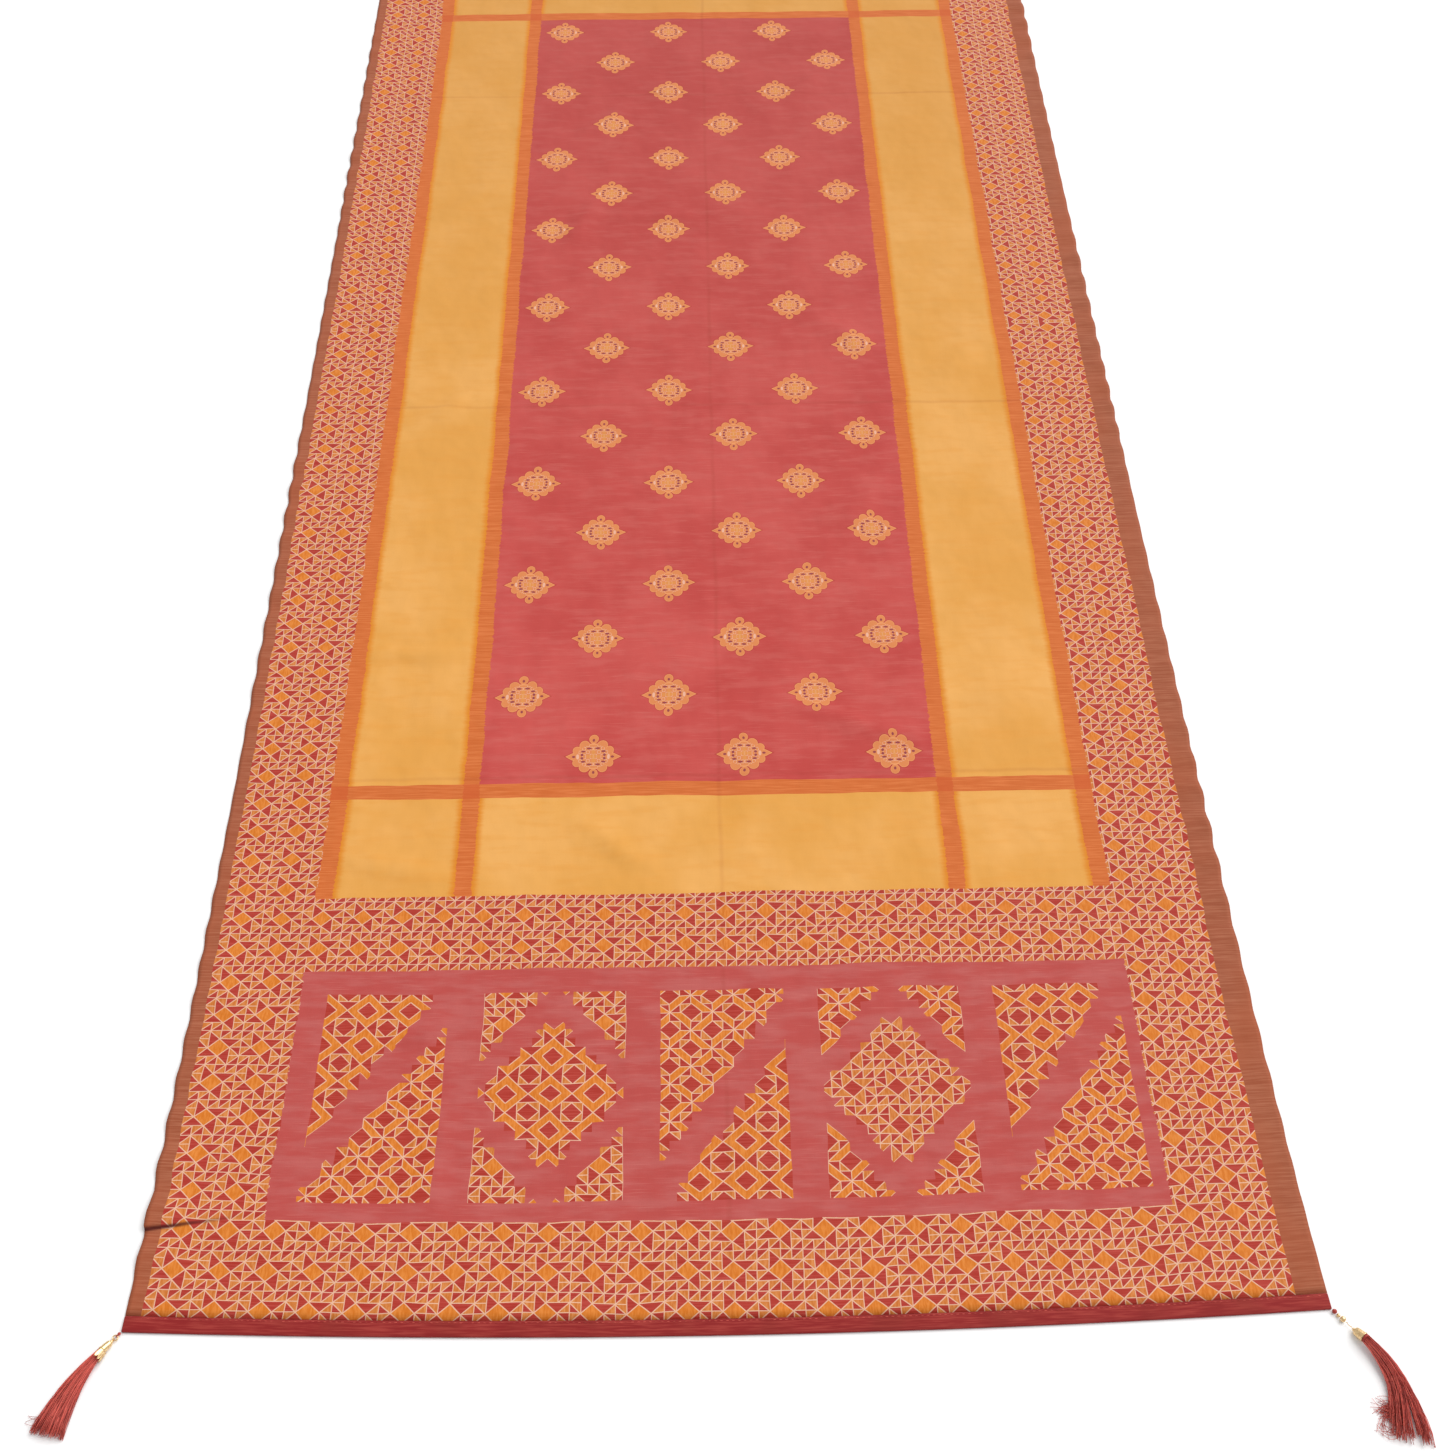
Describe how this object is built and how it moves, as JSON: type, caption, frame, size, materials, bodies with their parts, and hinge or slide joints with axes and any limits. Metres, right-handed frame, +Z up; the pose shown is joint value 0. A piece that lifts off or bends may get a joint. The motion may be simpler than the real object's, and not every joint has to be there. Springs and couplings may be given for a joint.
{
  "type": "dupatta stole",
  "caption": "Long woven dupatta stole laid flat, with geometric borders, a spotted red field, turned hems and a thread tassel at each corner.",
  "frame": {"origin": "on the floor under the middle of the cloth", "axes": "+Z up, +Y along the length of the stole from the shown end to the far end, +X across it to the right"},
  "size_m": [1.0302, 2.5416, 0.009],
  "materials": {
    "woven_cloth": "woven red, gold and orange silk blend with a soft sheen",
    "maroon_hem": "plain weave, turned and stitched",
    "maroon_thread": "loose glossy thread",
    "gilt_brass": "polished pale gilt"
  },
  "bodies": {
    "root": {"cloth": "woven_cloth", "hem_near": "maroon_hem", "hem_far": "maroon_hem", "knot_near_left": "maroon_thread", "ring_near_left": "gilt_brass", "cap_near_left": "gilt_brass", "skirt_near_left": "maroon_thread", "knot_near_right": "maroon_thread", "bead_small_near_right": "gilt_brass", "bead_near_right": "gilt_brass", "link_near_right": "gilt_brass", "cap_near_right": "gilt_brass", "skirt_near_right": "maroon_thread", "knot_far_right": "maroon_thread", "ring_far_right": "gilt_brass", "cap_far_right": "gilt_brass", "skirt_far_right": "maroon_thread", "knot_far_left": "maroon_thread", "bead_small_far_left": "gilt_brass", "bead_far_left": "gilt_brass", "link_far_left": "gilt_brass", "cap_far_left": "gilt_brass", "skirt_far_left": "maroon_thread"}
  },
  "joints": []
}
